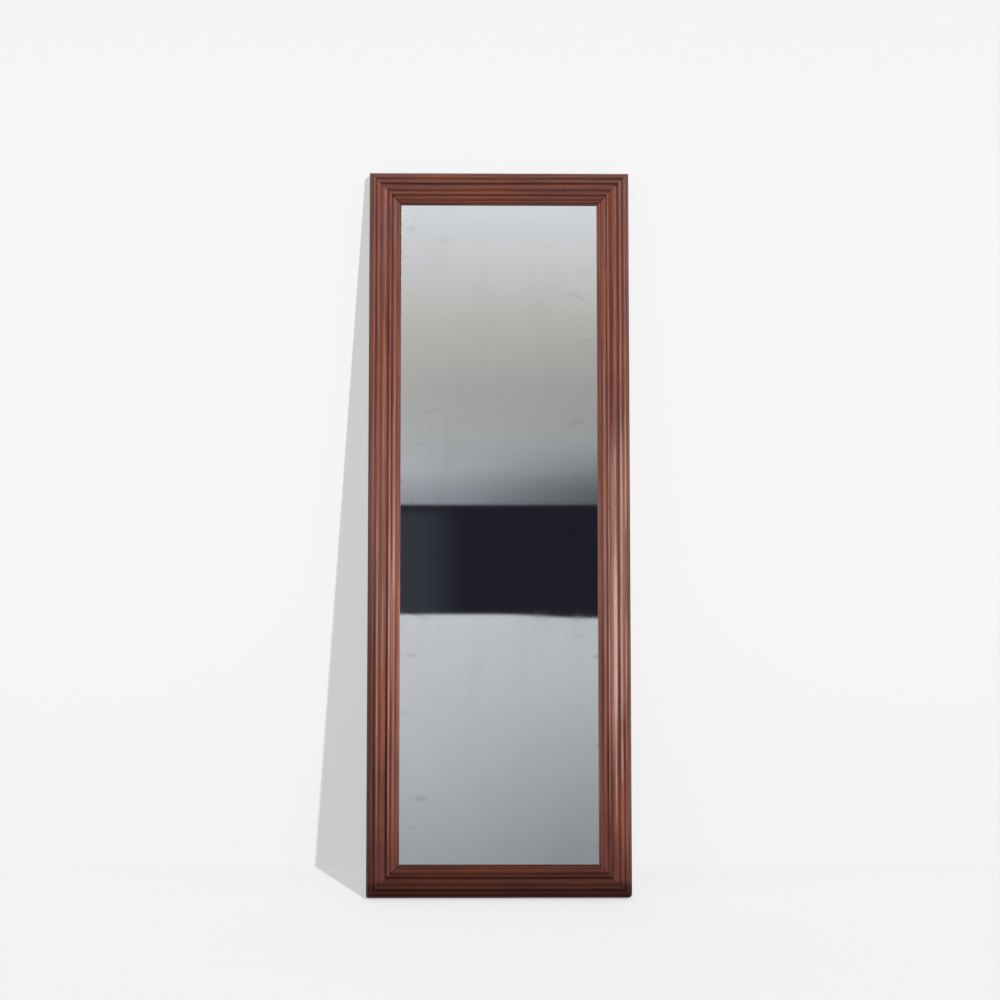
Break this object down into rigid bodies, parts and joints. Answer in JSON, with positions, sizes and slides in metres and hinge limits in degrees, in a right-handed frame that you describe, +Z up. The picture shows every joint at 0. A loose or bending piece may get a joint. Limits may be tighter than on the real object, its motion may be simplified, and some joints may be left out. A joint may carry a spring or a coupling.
{
  "type": "full-length mirror",
  "caption": "Tall rectangular mirror in a moulded, red-brown wooden frame with a separate inner slip, which stands on the floor and leans on a wall or hangs from rings on its back.",
  "frame": {"origin": "the middle of the frame's lower face, which stands on the floor, halfway through the timber", "axes": "+Z up along the height, +X to the right across the width as seen from the front, the glass faces -Y"},
  "size_m": [0.65, 0.044, 1.8],
  "materials": {
    "stained_wood": "red-brown stain under a satin varnish",
    "silvered_glass": "silvered at the back, polished",
    "glazing_felt": "thin self-adhesive felt",
    "wall_felt": "thick grey wool felt",
    "beech": "raw pressed beech",
    "hardboard": "smooth brown hardboard",
    "foam": "white closed-cell foam",
    "packing_rubber": "matt black",
    "plated_steel": "zinc plated",
    "screw_steel": "yellow passivated zinc",
    "pin_steel": "bright drawn wire"
  },
  "bodies": {
    "frame": {"bottom_rail": "stained_wood", "top_rail": "stained_wood", "left_stile": "stained_wood", "right_stile": "stained_wood", "bottom_slip": "stained_wood", "top_slip": "stained_wood", "left_slip": "stained_wood", "right_slip": "stained_wood", "bottom_glazing_felt": "glazing_felt", "top_glazing_felt": "glazing_felt", "left_glazing_felt": "glazing_felt", "right_glazing_felt": "glazing_felt", "bottom_left_biscuit": "beech", "bottom_left_corner_brace": "plated_steel", "bottom_right_biscuit": "beech", "bottom_right_corner_brace": "plated_steel", "top_left_biscuit": "beech", "top_left_corner_brace": "plated_steel", "top_right_biscuit": "beech", "top_right_corner_brace": "plated_steel", "mirror_glass": "silvered_glass", "foam_sheet": "foam", "backing_panel": "hardboard", "upper_left_edge_packer": "packing_rubber", "upper_right_edge_packer": "packing_rubber", "lower_left_edge_packer": "packing_rubber", "lower_right_edge_packer": "packing_rubber", "left_setting_block": "packing_rubber", "right_setting_block": "packing_rubber", "left_hanger_strap": "plated_steel", "right_hanger_strap": "plated_steel", "upper_wall_felt": "wall_felt", "lower_wall_felt": "wall_felt", "slip_pins": "pin_steel", "panel_screws": "screw_steel", "brace_screws": "screw_steel", "hanger_screws": "screw_steel"},
    "left_ring": {"left_hanger_ring": "plated_steel"},
    "right_ring": {"right_hanger_ring": "plated_steel"}
  },
  "joints": [
    {"name": "left_ring_swing", "type": "hinge", "parent": "frame", "child": "left_ring", "pos_m": [-0.30625, 0.0221, 1.47], "axis": [1, 0, 0], "range_deg": [0, 180]},
    {"name": "right_ring_swing", "type": "hinge", "parent": "frame", "child": "right_ring", "pos_m": [0.30625, 0.0221, 1.47], "axis": [1, 0, 0], "range_deg": [0, 180]}
  ]
}
